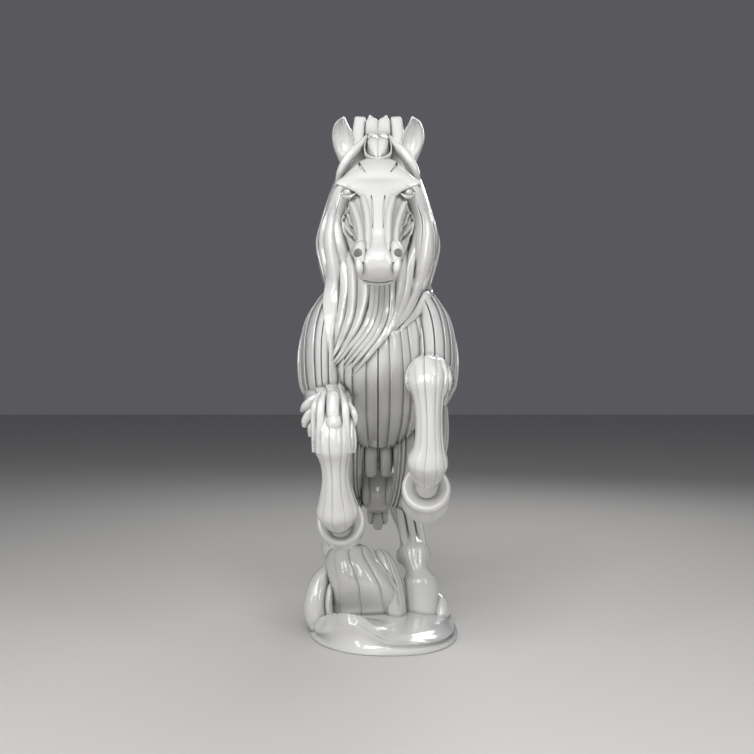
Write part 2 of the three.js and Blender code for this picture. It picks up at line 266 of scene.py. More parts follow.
print("points merge below", MERGE, "mm")

# %% [markdown]
# Free planks, such as the locks of the mane, follow lines drawn over the body as seen from the
# front. Placing each by hand in three directions would leave gaps, so each line is thrown straight
# back onto a smooth core under the slats, as a beam would, and the plank is built on it. It leans a
# little, so that one of its edges stands up.

# %% Cores, and planks laid on them
BEAM_START = -200.0  # y in front of everything, where the beams start
FRONT_Y = -70.0  # y near the chest, to look for the nearest point when a beam misses
PLANK_SAMPLES = 9
SINK = 0.8  # how far under the core the two ends of a plank go
END_SHARE = 0.2  # the part of a plank, at each end, over which it sinks


def core_of(*grids):
    """A search tree over the surfaces that planks are laid on."""
    points, faces = [], []
    for grid in grids:
        rows, columns, _ = grid.shape
        start = sum(len(p) for p in points)
        index = start + np.arange(rows * columns).reshape(rows, columns)
        quads = np.stack([index[:-1, :-1], index[:-1, 1:], index[1:, 1:], index[1:, :-1]], axis=2)
        faces.extend(quads.reshape(-1, 4).tolist())
        points.append(grid.reshape(-1, 3))
    return BVHTree.FromPolygons(np.vstack(points).tolist(), faces)


def laid(core, drawn):
    """Where a drawn line lands on the core, and the way out of the core there."""
    spots, outs = [], []
    for across, up, _ in drawn:
        spot, out, _, _ = core.ray_cast(Vector((across, BEAM_START, up)), Vector((0, 1, 0)))
        if spot is None:
            spot, out, _, _ = core.find_nearest(Vector((across, FRONT_Y, up)))
        spots.append(spot)
        outs.append(out if out.y < 0 else -out)
    outs = np.array(outs)
    for _ in range(2):
        outs[1:-1] = outs[:-2] + 2 * outs[1:-1] + outs[2:]
        outs = unit(outs)
    return np.array(spots), outs


def plank(core, rows, lift=0.6, thick=2.6, lean=14.0, ring=14, rings=22):
    """A plank on the core, from rows [x, z, half width] as seen from the front.

    Lift raises it off the core and lean tilts it, in degrees.
    """
    t = np.linspace(0, 1, PLANK_SAMPLES)
    drawn = through(rows, t)
    spots, outs = laid(core, drawn)
    side = unit(np.cross(outs, unit(np.gradient(spots, axis=0))))
    inner = -np.sign((side * spots)[:, 0].sum() or 1)
    leaning = math.radians(lean) * inner
    wide = side * math.cos(leaning) + outs * math.sin(leaning)
    deep = outs * math.cos(leaning) - side * math.sin(leaning)
    sunk = np.clip(1 - np.minimum(t, 1 - t) / END_SHARE, 0, 1)[:, None] * (lift + SINK)
    middle = spots + outs * (lift - 0.5 * thick - sunk)
    return skin(np.hstack([middle, wide * drawn[:, 2:3], deep * thick]), ring, rings, corner=0.6)


print("a plank reads its core at", PLANK_SAMPLES, "places")

# %% [markdown]
# The trunk runs from the poll down the neck and chest, under the belly and back to the dock. It
# could be an egg with a cylinder for the neck, but the slats have to flow from one to the other, so
# it is one skin drawn in side view. Seen from the front its slats are the upright planks of the
# chest. They are faint there and stand out more towards the rump.

# %% Trunk
TRUNK = [
    [-52, 240, -22, 260, 12], [-58, 224, -7, 245, 18], [-62, 209, 3, 228, 24], [-66, 193, 9, 211, 27],
    [-72, 176, 13, 196, 27], [-77, 158, 21, 184, 33], [-72, 140, 31, 175, 37],
    [-52, 125, 43, 167, 37.5], [-25, 115, 55, 159, 37], [5, 106, 68, 150, 35], [30, 100, 81, 139, 33],
    [52, 98, 90, 124, 26], [68, 102, 91, 112, 12],
]
TRUNK_LIFT = [1, 1, 1.1, 1.1, 1.1, 1.1, 1.3, 1.7, 2.1, 2.1, 2.1, 2, 2]  # slat steps from poll to dock
made = [skin(profile(TRUNK), slatted_ring(20), 66, lift=TRUNK_LIFT)]
print("trunk:", len(made[0].data.polygons), "faces")

# %% [markdown]
# On each side a shoulder bulges from the chest, and a hood of mane falls over the neck, smooth at
# the top and carved into broad locks lower down. Both could be swellings of the trunk, but their
# slats run another way, so they are skins of their own that overlap it.

# %% Shoulders and the hood of the mane
SHOULDER = [
    [14, -24, 184, 7, 14], [18, -32, 175, 9.5, 22], [24.5, -38, 162, 12, 27], [27, -44, 150, 12, 28],
    [27, -46, 138, 11.2, 24], [26, -46, 127, 9, 15],
]
HOOD = [
    [9, -34, 262, 6, 12], [13.5, -32, 246, 7.4, 19], [18, -32, 231, 8.2, 23],
    [20.4, -33, 219, 8.8, 24.5], [22, -36, 206.5, 9.2, 24.5], [21, -42, 194, 7.2, 20],
    [20, -46, 178, 4, 12],
]
HOOD_LIFT = [0, 0, 0.3, 1, 1.2, 1]  # smooth at the poll, carved at the bottom
for side in (1, -1):
    made.append(skin(limb(sided(side, SHOULDER)), slatted_ring(9, phase=side), 34, lift=1.9))
    made.append(skin(limb(sided(side, HOOD)), slatted_ring(7, phase=1 + side), 44, lift=HOOD_LIFT))

smooth = plain_ring(48)
body_core = core_of(
    skin_points(profile(TRUNK), smooth, 48, lift=0),
    *[skin_points(limb(sided(s, rows)), smooth, 30, lift=0) for s in (1, -1) for rows in (SHOULDER, HOOD)],
)
print("trunk and shoulders:", len(made), "skins")

# %% [markdown]
# The mane hangs from the poll on both sides, then its locks cross the chest together and gather
# low on the horse's right. Hair could be grown as curves, but carved locks have flat tops and firm
# edges. Each lock is one plank, drawn as seen from the front.

# %% Locks of the mane, rows [x, z, half width]
RIGHT_LOCKS = [
    [[-24.4, 224, 0.5], [-26.8, 214, 2.2], [-27.6, 204.5, 3], [-25.6, 195, 2.8], [-23, 181, 0.7]],
    [[-20.5, 228, 0.5], [-22.4, 219, 1.9], [-23.5, 211, 2.6], [-22, 198, 2.8], [-21.5, 189.5, 3.6],
     [-22.5, 183, 4.3], [-23, 175, 4.3], [-23.5, 167, 3.4], [-23.5, 160, 2.2], [-23.5, 152.5, 0.5]],
    [[-19, 222, 0.6], [-20, 214, 2.4], [-18.5, 204.5, 3.2], [-17, 196.5, 2.9], [-15.5, 184, 2.6],
     [-16.5, 172, 2.6], [-18, 163, 2.3], [-20.5, 156, 1.6], [-23, 149, 0.5]],
    [[-16, 210, 1.5], [-13, 198, 2.1], [-11.5, 188.5, 2.3], [-11.5, 181, 2.4], [-12, 172, 2.5],
     [-14, 164, 2.4], [-17.5, 157, 1.9], [-22.5, 148, 0.6]],
    [[-8, 198, 2.3], [-7, 189.5, 2.8], [-6, 181, 2.8], [-7.5, 171, 2.5], [-10, 163, 2.2],
     [-14.5, 155.5, 1.7], [-22, 146, 0.6]],
]
LEFT_LOCKS = [
    [[12.5, 204.5, 1.5], [11.5, 194, 2.1], [10, 183.5, 2.2], [8.5, 175, 2], [6.5, 167, 2],
     [2.5, 160, 1.9], [-4, 152.5, 1.6], [-12.5, 141.5, 0.6]],
    [[19, 214, 2], [17, 200.5, 2.4], [14.5, 191.5, 2.3], [13, 182.5, 2.3], [11, 174.5, 2.3],
     [7.5, 167, 2], [3, 161, 1.4], [-3.5, 155, 0.5]],
    [[22.5, 224, 0.6], [24.6, 212, 2.8], [23, 198, 3.9], [20.5, 189.5, 3.3], [17, 181, 2.8],
     [13.5, 172.5, 2.3], [8.5, 165.5, 1.5], [3.5, 160.5, 0.5]],
    [[24.6, 224, 0.5], [26.4, 212.5, 2.2], [26.4, 202, 2.4], [25, 194, 2], [21.5, 185.5, 1.5],
     [16.5, 177, 0.5]],
    [[28, 189, 1], [24, 181, 2.6], [19, 173, 2.5], [13.5, 167, 1.8], [8.5, 161.5, 0.5]],
]
OUTLINE_X = 26  # locks that reach further out than this lie flatter, to keep the outline
for rows in (*RIGHT_LOCKS, *LEFT_LOCKS):
    outermost = max(abs(row[0]) for row in rows) > OUTLINE_X
    made.append(plank(body_core, rows, lift=0.7 if outermost else 1.9, rings=30))
print("with the locks:", len(made), "skins")

# %% [markdown]
# Between the two sides a few thin strands sweep across the chest side by side. They are almost
# parallel, so only the first and the last are drawn, and the others are shares between the two.

# %% Strands across the chest
FIRST_STRAND = [
    [-2.5, 196, 1.3], [-2.5, 176.5, 1.5], [-4, 168, 1.5], [-7.5, 160.5, 1.5], [-13.5, 153.5, 1.3],
    [-21.5, 145.5, 0.4],
]
LAST_STRAND = [
    [6.5, 196, 1.3], [6, 176.5, 1.6], [5, 167, 1.6], [2, 159.5, 1.5], [-4, 151.5, 1.4],
    [-14.5, 139, 0.4],
]
STRANDS = 5
for share in np.linspace(0, 1, STRANDS):
    rows = (1 - share) * np.array(FIRST_STRAND) + share * np.array(LAST_STRAND)
    made.append(plank(body_core, rows, lift=1.9, lean=6, thick=3, ring=10))
print("with the strands:", len(made), "skins")

# %% [markdown]
# The head is a wedge that points down and forward, with a flat plate on the forehead that ends in
# two sharp brows and runs on down the nose. The wedge could be a bent cube, but drawing its top and
# bottom lines in side view gives the muzzle and the chin too. The plate is thin at its sides, so
# its rings are bent towards a diamond.

# %% Head, forehead plate and jaws
HEAD = [
    [-44, 250, -30, 234, 7], [-55, 247, -40, 222, 11], [-65, 240.5, -48, 214, 14],
    [-72.5, 233, -53, 208, 14.6], [-78.5, 226, -60, 202, 13], [-87, 216.5, -70, 196, 10.6],
    [-95.5, 208, -79, 191, 8.8], [-103, 201, -87, 186.5, 8.2], [-109.5, 195.5, -93, 183, 8.6],
    [-110, 189.6, -97.5, 181.8, 8.6], [-106.4, 184.6, -100.5, 181.6, 6.4],
]
FOREHEAD = [
    [0, -52, 249.5, 7, 1.6], [0, -57, 246.5, 9.8, 3], [0, -63, 241.5, 13.6, 3.8],
    [0, -67.6, 237, 17.4, 3.8], [0, -70.6, 233.8, 20.4, 3], [0, -73.4, 231, 15, 3.4],
    [0, -76, 228.4, 10.8, 3.6], [0, -80, 224.4, 8, 3.4], [0, -85, 219, 6.4, 3],
    [0, -91, 212.6, 5.2, 2.6], [0, -96.4, 206.4, 4.8, 1.8], [0, -100.6, 200.6, 5, 0.4],
]
JAW = [[9, -50, 226, 5, 8], [10.8, -58, 216, 6, 11], [9.5, -66, 206, 5, 10], [7, -76, 198, 3, 6]]
HEAD_CORNER, PLATE_CORNER = 0.85, 1.16
head_core = core_of(
    skin_points(profile(HEAD), smooth, 40, lift=0, corner=HEAD_CORNER),
    *[skin_points(limb(sided(s, JAW)), smooth, 20, lift=0) for s in (1, -1)],
    skin_points(limb(FOREHEAD), smooth, 40, lift=0, corner=PLATE_CORNER),
)
made.append(skin(profile(HEAD), 48, 40, corner=HEAD_CORNER))
made.append(skin(limb(FOREHEAD), 56, 66, corner=PLATE_CORNER))
for side in (1, -1):
    made.append(skin(limb(sided(side, JAW)), 32, 20))
print("with the head:", len(made), "skins")

# %% [markdown]
# The eyes are set under the ends of the brow plate, each a small ball between two lids. A sphere
# would do for the ball, but the same short skins make all three and keep the file simple.

# %% Eyes and lids
EYE = [
    [14.2, -67, 229.2, 0.6, 0.6], [14.2, -68.6, 229.2, 2.3, 2.4], [14.1, -70.6, 229.2, 2.7, 2.8],
    [14, -72.4, 229.2, 1.9, 2], [14, -73.4, 229.2, 0.5, 0.5],
]
UPPER_LID = [
    [10.6, -74.2, 229.4, 0.5, 0.6], [12.6, -74, 231.4, 0.8, 1], [15.4, -72.4, 231.8, 0.8, 1],
    [17.8, -68.6, 230, 0.5, 0.6],
]
LOWER_LID = [
    [10.6, -74.4, 228.2, 0.4, 0.6], [13, -74.4, 226.6, 0.75, 0.9], [15.6, -72, 226.8, 0.75, 0.9],
    [18, -68, 228.8, 0.4, 0.5],
]
for side in (1, -1):
    made.append(skin(limb(sided(side, EYE)), 20, 14))
    made.append(skin(limb(sided(side, UPPER_LID)), 12, 14))
    made.append(skin(limb(sided(side, LOWER_LID)), 12, 14))
print("with the eyes:", len(made), "skins")

# %% [markdown]
# Each nostril is a raised tube with a flared lip under it and a round hole that slopes back into
# the head. The hole could be an inset face pushed in, but the nose is not flat there. A plug of the
# same kind as the other skins is made instead and cut away at the end.

# %% Nostrils
NOSTRIL = [
    [7, -100.4, 201, 0.8, 1], [7.8, -103.6, 198.8, 2.4, 2.6], [8.4, -106.8, 195, 2.9, 2.9],
    [7.9, -107.6, 190.6, 2.2, 2.2],
]
FLARE = [
    [8.9, -108, 193, 0.9, 1], [8.6, -109.2, 190.8, 1.6, 1.8], [8.2, -109.4, 188, 1.7, 1.8],
    [7.8, -108, 185.4, 0.8, 1],
]
NOSTRIL_HOLE = [
    [9.6, -111.5, 196.8, 1.4, 1.3], [8.8, -108.4, 194.8, 2.1, 2], [8, -104.5, 192.6, 1.6, 1.5],
    [7.4, -100.6, 190.6, 0.5, 0.5],
]
cuts = []
for side in (1, -1):
    made.append(skin(limb(sided(side, NOSTRIL)), 24, 20))
    made.append(skin(limb(sided(side, FLARE)), 18, 16))
    cuts.append(skin(limb(sided(side, NOSTRIL_HOLE)), 20, 14))
print("with the nostrils:", len(made), "skins,", len(cuts), "cuts")

# %% [markdown]
# Long planks run down the face from the eyes to the nostrils, and short slats fan over the cheek
# with dark hollows between them. They are laid on the head's core like the locks, thin ones for
# the raised parts and plugs for the hollows, the lines beside the nose, the creases of the temples
# and the mouth.

# %% Planks and hollows of the face, rows [x, z, half width] for the horse's left
BRIDGE_PLANK = [
    [8, 227, 0.5], [6.9, 223.5, 1.7], [5.1, 215, 1.8], [4.5, 206.6, 1.7], [4.3, 199, 1.2],
    [4.4, 196.5, 0.4],
]
CHEEK_PLANK = [
    [12.6, 226.2, 0.8], [12.4, 223.6, 1.8], [9.8, 215, 2.3], [7.9, 206.7, 1.9], [7.4, 199.4, 1.5],
    [7.4, 197, 0.5],
]
CHEEK_EDGE = [[17, 227, 0.4], [16.6, 219, 1], [15.6, 212, 1], [12.6, 205, 0.4]]
CHEEK_SLATS = [
    [[15, 223.5, 0.4], [13.4, 217, 1.1], [11.4, 211.5, 0.4]],
    [[16, 215.4, 0.4], [13.6, 211, 0.9], [11, 207.2, 0.4]],
]
CHEEK_HOLLOWS = [
    [[15.6, 220, 0.3], [14.2, 216, 1.2], [12.2, 211.4, 0.3]],
    [[15.4, 213, 0.3], [13.6, 209, 1.2], [11, 205, 0.3]],
]
NOSE_CUT = [[3.4, 227, 0.1], [2.9, 222, 0.5], [2.5, 214, 0.5], [2.3, 205, 0.1]]
TEMPLE_CREASE = [[9.4, 246.6, 0.2], [8.6, 243, 0.8], [5.8, 238.8, 0.2]]
MOUTH = [[-7.4, 184, 0.2], [-4, 182.9, 0.4], [0, 182.6, 0.4], [4, 182.9, 0.4], [7.4, 184, 0.2]]
for side in (1, -1):
    made.append(plank(head_core, sided(side, BRIDGE_PLANK), lift=0.9, lean=12, thick=1.6))
    made.append(plank(head_core, sided(side, CHEEK_PLANK), lift=1.1, lean=12, thick=1.8))
    made.append(plank(head_core, sided(side, CHEEK_EDGE), lift=0.8, lean=0, thick=1.4))
    for rows in CHEEK_SLATS:
        made.append(plank(head_core, sided(side, rows), lift=0.7, lean=0, thick=1.2, rings=14))
    for rows in CHEEK_HOLLOWS:
        cuts.append(plank(head_core, sided(side, rows), lift=1.6, lean=0, rings=14))
    cuts.append(plank(head_core, sided(side, TEMPLE_CREASE), lift=0.9, lean=0, thick=1.1, rings=14))
    cuts.append(plank(head_core, sided(side, NOSE_CUT), lift=0.3, lean=0, thick=0.5))
cuts.append(plank(head_core, MOUTH, lift=0.6, lean=0, thick=1.4))
print("with the face:", len(made), "skins,", len(cuts), "cuts")

# %% [markdown]
# The ears are leaves with a scoop cut out of the front. A leaf could be a bent sheet, but a sheet
# has no thickness to cast, so each is a full skin and the scoop is another skin cut out of it.

# %% Ears
EAR = [
    [12.5, -40, 248, 5, 4], [14.8, -41, 254, 6, 5.2], [17.2, -42, 260, 5.9, 5.2],
    [18.4, -42, 265.5, 5.2, 4.6], [18.6, -41.5, 270, 3.4, 3.2], [17.4, -41, 273.8, 0.5, 0.6],
]
EAR_SCOOP = [
    [13.8, -47, 251, 2, 2.6], [16.8, -45.4, 258, 4.6, 6.4], [18.4, -44.8, 264.5, 4.3, 6],
    [18.8, -44, 269.4, 2.5, 4], [17.8, -43.2, 272.4, 0.4, 0.6],
]
for side in (1, -1):
    made.append(skin(limb(sided(side, EAR)), 36, 26))
    cuts.append(skin(limb(sided(side, EAR_SCOOP)), 28, 20))
print("with the ears:", len(made), "skins,", len(cuts), "cuts")

# %% [markdown]
# Between the ears stand the upright locks of the crest. The two in the middle run forward and down
# to a point over the forehead, and a ridge of mane runs down the back of the neck. Each is one
# boxy skin, because the tops are cut off like the ends of boards.

# %% Crest
PEAK = [
    [4.5, -20, 280.4, 0.3, 0.5], [4.1, -20.2, 278.6, 1.6, 1.4], [3.3, -20.6, 276.4, 3.4, 2.6],
    [3.1, -22, 270, 3.9, 4], [2.8, -27, 264, 3.8, 5.5], [2.6, -40, 258, 3.6, 7],
    [2.1, -50, 253.6, 3.4, 6.6], [1.2, -56, 250.4, 2, 3.4], [0.6, -59.4, 247.8, 0.4, 1],
]
OUTER_PEAK = [
    [9.6, -20, 279.2, 2.7, 1], [9.7, -20.5, 277.6, 3, 2], [10.3, -21, 271, 3.4, 4.5],
    [10.3, -22, 262, 3.7, 7], [9, -22, 250, 3, 7],
]
MID_PEAK = [
    [6.8, -17, 277.8, 1.6, 1.2], [6.8, -17.5, 274, 2.4, 2.5], [7, -18, 262, 2.8, 7],
    [7, -18, 250, 2, 7],
]
CREST_RIDGE = [
    [4, -18, 264, 4, 5], [4, -8, 255, 4, 8], [3.6, 1, 240, 3.8, 7.5], [3.2, 9, 222, 3.4, 6.5],
    [2.6, 13.5, 205, 3, 4.6], [1.8, 14, 192, 1.6, 2.4], [1.2, 12, 186, 0.5, 0.8],
]
for side in (1, -1):
    for rows in (PEAK, OUTER_PEAK, MID_PEAK):
        made.append(skin(limb(sided(side, rows)), 16, 24, corner=0.65))
    made.append(skin(limb(sided(side, CREST_RIDGE)), slatted_ring(3), 30, lift=0.8))
print("with the crest:", len(made), "skins")

# %% [markdown]
# Two strands of the forelock sweep back over the brows, and a thin rim runs from one to the other
# round the crest's point, like a cup. A bevelled curve could make them, but their width changes on
# the way, which stations give directly.

# %% Forelock
STRAND = [
    [5.8, -47, 261.6, 0.8, 1.6], [9.2, -51.5, 256.4, 1.9, 2.4], [12.6, -54.6, 252.2, 2.2, 2.8],
    [16, -56, 247.6, 2.2, 3], [19, -54.6, 242.4, 1.8, 2.8], [21.4, -50, 236, 0.4, 0.8],
]
CUP_RIM = [
    [5.8, -47.5, 261, 0.4, 1], [6.7, -52.6, 255, 0.45, 1.3], [6, -56.8, 250.4, 0.5, 1.5],
    [3.5, -59.4, 248, 0.55, 1.5], [0, -60.4, 247, 0.6, 1.5], [-1.5, -60.4, 247.2, 0.5, 1.4],
]
for side in (1, -1):
    made.append(skin(limb(sided(side, STRAND)), 16, 30, corner=0.8))
    made.append(skin(limb(sided(side, CUP_RIM)), 16, 26, corner=0.8))
print("with the forelock:", len(made), "skins")

# %% [markdown]
# Each hind leg is one skin from the rump to the hoof, which stands on the base. Thigh, shank and
# hoof could be separate blocks, but then the slats would break at each joint. The slats stand out
# on the muscle and sink to nothing below the joint, which keeps the shins slim.

# %% Hind legs, rows [x, y, z, half width, half depth], the horse's left side at positive x
LEFT_HIND = [
    [13, 62, 139, 3, 5], [19.6, 60, 134.5, 10, 18], [23.6, 54, 126, 15.6, 26], [25.5, 38, 111, 15, 24],
    [25, 26, 97, 13, 16.5], [20.5, 38, 80, 9.5, 11], [17.6, 52, 66.5, 8.8, 9.5], [17, 56, 60, 9.2, 8.6],
    [18.6, 42, 51, 6.6, 6.6], [20, 27, 43.5, 6.8, 7], [21, 18, 38.5, 9.4, 8.8],
    [22, 13.5, 32, 6.6, 6.8], [22.8, 12.2, 28.4, 7.8, 8], [23.3, 11.4, 25.4, 10.4, 10.6],
    [23.5, 11, 21, 10.7, 11], [23.7, 10.6, 14, 10.8, 11.3], [23.8, 10.4, 7, 11.2, 11.6],
]
RIGHT_HIND = [
    [-13, 62, 139, 3, 5], [-19.4, 61, 134.5, 10, 18], [-22.8, 56, 126, 15, 26],
    [-23.4, 42, 111, 14, 24], [-22.6, 34, 97, 12, 16.5], [-21, 50, 82, 9.5, 11],
    [-19, 68, 69.5, 8.4, 9.5], [-18.5, 72, 63, 8.8, 8.6], [-20.5, 60, 52.5, 6.6, 6.6],
    [-23.5, 46, 43.5, 6.8, 7], [-24.2, 38, 38.5, 9.4, 8.8], [-24.2, 33.5, 32, 6.6, 6.8],
    [-24.3, 32.2, 28.4, 7.8, 8], [-24.4, 31.4, 25.4, 10.4, 10.6], [-24.4, 31, 21, 10.7, 11],
    [-24.4, 30.6, 14, 10.8, 11.3], [-24.4, 30.4, 7, 11.2, 11.6],
]
HIND_LIFT = [1.9, 1.9, 1.7, 0.8, 0.2, 0, 0, 0]  # slat steps from the rump to the hoof
for rows in (LEFT_HIND, RIGHT_HIND):
    made.append(skin(limb(rows), slatted_ring(9), 84, lift=HIND_LIFT))
print("with the hind legs:", len(made), "skins")

# %% [markdown]
# The forelegs are folded, one knee higher than the other. They are skins too, with fewer and
# wider planks, whose edges are given as angles so that one plank runs down the front of the shin.

# %% Forelegs
LEFT_FORE = [
    [26, -20, 152, 12, 16], [27, -42, 142, 12, 14], [26, -62, 140, 10.4, 11],
    [24.5, -78, 141.5, 8.8, 9], [23.2, -86.5, 141, 8.8, 8.4], [22.8, -90, 137, 8.8, 8.6],
    [23.2, -89.8, 131, 6.8, 7.2], [23.5, -88.8, 121, 6, 6.6], [23.6, -87.5, 109, 6.8, 7],
    [23, -86, 101.5, 9.4, 9], [23, -81.6, 96.4, 7.6, 7.6], [23.2, -76, 92, 6, 6.2],
    [23.4, -70, 87, 5.4, 5.8],
]
RIGHT_FORE = [
    [-26, -20, 150, 12, 16], [-26, -42, 136, 12, 14], [-24, -62, 127, 10.4, 11],
    [-21.5, -76, 123.5, 9, 9.4], [-20.4, -84.5, 118, 8.8, 8.8], [-20.3, -87.5, 112, 9, 8.8],
    [-20.2, -88, 107, 8.8, 8.4], [-20, -87, 103, 7, 7], [-19.9, -85.6, 98, 6.1, 6.4],
    [-19.8, -83.6, 91, 6.4, 6.6], [-19.5, -80, 83, 8.4, 8], [-19.3, -77.6, 77.4, 9.8, 9],
    [-19, -72.6, 73.4, 7.6, 7.6], [-18.6, -67, 70, 6, 6.2], [-18.2, -61, 66, 5.4, 5.8],
]
FORELEG_EDGES = [-160, -118, -76, -40, -12, 24, 58, 98, 150, 200]  # degrees round the leg
FORELEG_LIFT = [1.4, 1.3, 1, 0.8, 0.6, 0.5, 0.4, 0]
for rows in (LEFT_FORE, RIGHT_FORE):
    made.append(skin(limb(rows), creased_ring(FORELEG_EDGES), 84, lift=FORELEG_LIFT))
print("with the forelegs:", len(made), "skins")

# %% [markdown]
# The hooves of the folded legs point backwards, so from the front each shows its rim as a ring
# with the pastern in the middle. A cylinder with an inset top would do, but the ring has to be
# round-edged and the wall has to flare, so a hoof is a skin whose first rings fold inwards.

# %% Front hooves
HOOF_DEPTH = 1.03  # a hoof is a little deeper than it is wide


def hoof(middle, along, length, top, sole):
    """A hoof from its middle at the rim, along the way to the sole. Top and sole are half widths."""
    middle, along = np.array(middle), unit(np.array(along, float))
    deep = np.cross(along, ACROSS)
    inside = [(3, 0.5 * top), (1.4, 0.72 * top), (0.3, 0.9 * top), (0.9, top)]
    wall = [(2.4, top + 0.5), (0.45 * length, top + 0.3), (length, sole)]
    under = [(length + 1, 0.96 * sole), (length + 1.4, 0.86 * sole)]
    sizes = inside + wall + under
    rows = [[*(middle + along * s), *(ACROSS * wide), *(deep * HOOF_DEPTH * wide)] for s, wide in sizes]
    return skin(np.array(rows), 56, 26)


made.append(hoof([23.2, -71.5, 87.8], [0, 0.87, -0.5], length=15, top=11.4, sole=12.2))
made.append(hoof([-18.2, -63.5, 70.5], [0, 0.93, -0.37], length=13, top=11.4, sole=11.8))
print("with the front hooves:", len(made), "skins")

# %% [markdown]
# The higher knee is a cap of short planks. The lower knee ends in a block with a tab and a knuckle
# in front and fans of plank ends beside them. They could be cut into the leg, but raised pieces
# catch the light at their edges, so short boxy skins are set on it.

# %% Knees
KNUCKLES = [
    [[-20.9, -84, 132.6, 2.6, 2], [-20.9, -87.4, 131, 3.2, 3.4], [-20.8, -91, 126, 3.2, 2.8],
     [-20.6, -92.4, 122, 3, 2.4]],
    [[-20.4, -90, 123.6, 1.4, 1.4], [-20.3, -92.4, 121.6, 3.2, 2.8], [-20.2, -93.2, 119, 3.7, 3.2],
     [-20.2, -92.6, 116, 3.2, 2.8]],
    [[-20.2, -90, 118.6, 2.8, 2], [-20.2, -92.4, 113.6, 4, 3], [-20.2, -92.8, 109, 5.6, 3],
     [-20.2, -91.6, 104.8, 6.2, 2.4]],
    [[24.4, -87, 147.4, 1.6, 1], [24.2, -91.4, 145, 3, 2.4], [24.1, -94.4, 141.6, 3.6, 2.8],
     [24, -95, 137.6, 3.4, 2.4], [23.9, -94, 134.2, 1.4, 1]],
    [[23.8, -93, 136, 1.2, 1.6], [23.7, -94, 126, 1, 1.4], [23.6, -93, 114, 0.9, 1.2],
     [23.4, -92.2, 104.6, 0.6, 1]],
]
KNEE_PLANKS = [
    [[-25, -86, 133, 1, 1], [-26.2, -90, 128, 1.9, 2.2], [-26.4, -92, 120, 1.9, 2],
     [-26.6, -92.4, 112, 1.9, 1.8], [-26.6, -92, 105.6, 1.9, 1.8]],
    [[-27.6, -84, 132, 1, 1], [-29.2, -87.4, 127, 1.8, 2], [-29.4, -88.4, 119, 1.7, 2],
     [-29.2, -88.6, 110, 1.6, 1.8], [-29, -88.6, 105.8, 1.6, 1.7]],
    [[-27, -82, 132.6, 1, 1.2], [-31, -83, 129.4, 2.2, 2], [-34, -82, 126.6, 2.2, 1.8],
     [-35.8, -80, 124.6, 1.2, 1]],
    [[-28, -81, 127, 1, 1.4], [-31.6, -82, 123.6, 2.2, 2], [-34, -81, 120, 2.1, 1.8],
     [-34.6, -80, 117, 1.2, 1]],
    [[-28.6, -81, 121, 1, 1.2], [-31, -82, 117, 2, 2], [-31.8, -81, 112.6, 1.2, 1]],
    [[-16.6, -87, 131, 1, 1], [-15.2, -90.4, 126.6, 1.8, 2.2], [-14.8, -92, 119, 1.8, 2],
     [-14.4, -92.4, 111, 1.9, 1.8], [-14.2, -92, 105.6, 1.9, 1.8]],
    [[-13.6, -84, 128, 1, 1], [-11.6, -87, 124, 1.8, 2], [-10.6, -87.6, 120.6, 1.3, 1.6],
     [-11.2, -87, 117.4, 0.5, 0.8]],
    [[-12.4, -87, 119, 1, 1], [-11.6, -88.4, 114, 1.6, 1.8], [-11.4, -88.4, 108.6, 1.5, 1.6],
     [-12, -88.2, 105.8, 1.5, 1.6]],
    [[20.6, -82, 150, 1, 1], [18.4, -88, 146.6, 1.9, 2.2], [17, -91.4, 141, 2, 2.2],
     [16.8, -92.4, 135.4, 1.7, 2], [17.4, -92, 131, 0.6, 1]],
    [[18, -80, 148.6, 1, 1], [15.2, -85, 143.6, 1.7, 2], [14, -87.6, 138.6, 1.7, 2],
     [14.6, -88.6, 134, 0.6, 1]],
    [[27.4, -82, 150, 1, 1], [29.4, -88, 146.2, 1.9, 2.2], [30.4, -91, 140.6, 2, 2.2],
     [30.2, -92, 135.4, 1.7, 2], [29.6, -91.6, 131, 0.6, 1]],
    [[29.4, -80, 148, 1, 1], [32.2, -84.6, 143, 1.6, 2], [33, -87, 138.4, 1.5, 2],
     [32.4, -88, 134, 0.6, 1]],
]
for rows in KNUCKLES:
    made.append(skin(limb(rows), 18, 20))
for rows in KNEE_PLANKS:
    made.append(skin(limb(rows), 14, 22, corner=0.7))
print("with the knees:", len(made), "skins")

# %% [markdown]
# On each hind leg three planks run down the shin from the hock to the fetlock, and two small knobs
# sit behind the fetlock. Both legs have the same ones, so they are drawn once, as shares of the way
# from the hock to the fetlock and as steps away from the fetlock.

# %% Hind shins and fetlocks
SHIN_SPINE = [(0.02, 0.8), (0.25, 2.2), (0.55, 2.3), (0.85, 2.1), (1.02, 0.8)]  # share, half width
SHIN_ASIDE = (-4.8, 0.3, 5.2)
SHIN_FRONT = (-4.6, 4.4)  # y and z from the middle of the leg to its front
# Steps from the fetlock in y and z, and a size as a share of the knob's.
KNOB_SPINE = [(6, 3, 0), (4.6, 0.6, 1), (3, -3.4, 0.9), (2, -6, 0)]
KNOB_TIP = 0.6
JOINTS = [(1, [17, 56, 60], [21, 18, 38.5]), (-1, [-18.5, 72, 63], [-24.2, 38, 38.5])]
for side, hock, fetlock in JOINTS:
    hock, fetlock = np.array(hock), np.array(fetlock)
    for aside in SHIN_ASIDE:
        step = [aside, *SHIN_FRONT]
        rows = [[*(hock + share * (fetlock - hock) + step), wide, 0.9 * wide] for share, wide in SHIN_SPINE]
        made.append(skin(limb(rows), 14, 22, corner=0.7))
    for aside, big in ((-7.4 * side, 2.9), (7.4 * side, 2.2)):
        rows = [[*(fetlock + [aside, y, z]), *[share * big or KNOB_TIP] * 2] for y, z, share in KNOB_SPINE]
        made.append(skin(limb(rows), 16, 14))
print("with shins and fetlocks:", len(made), "skins")

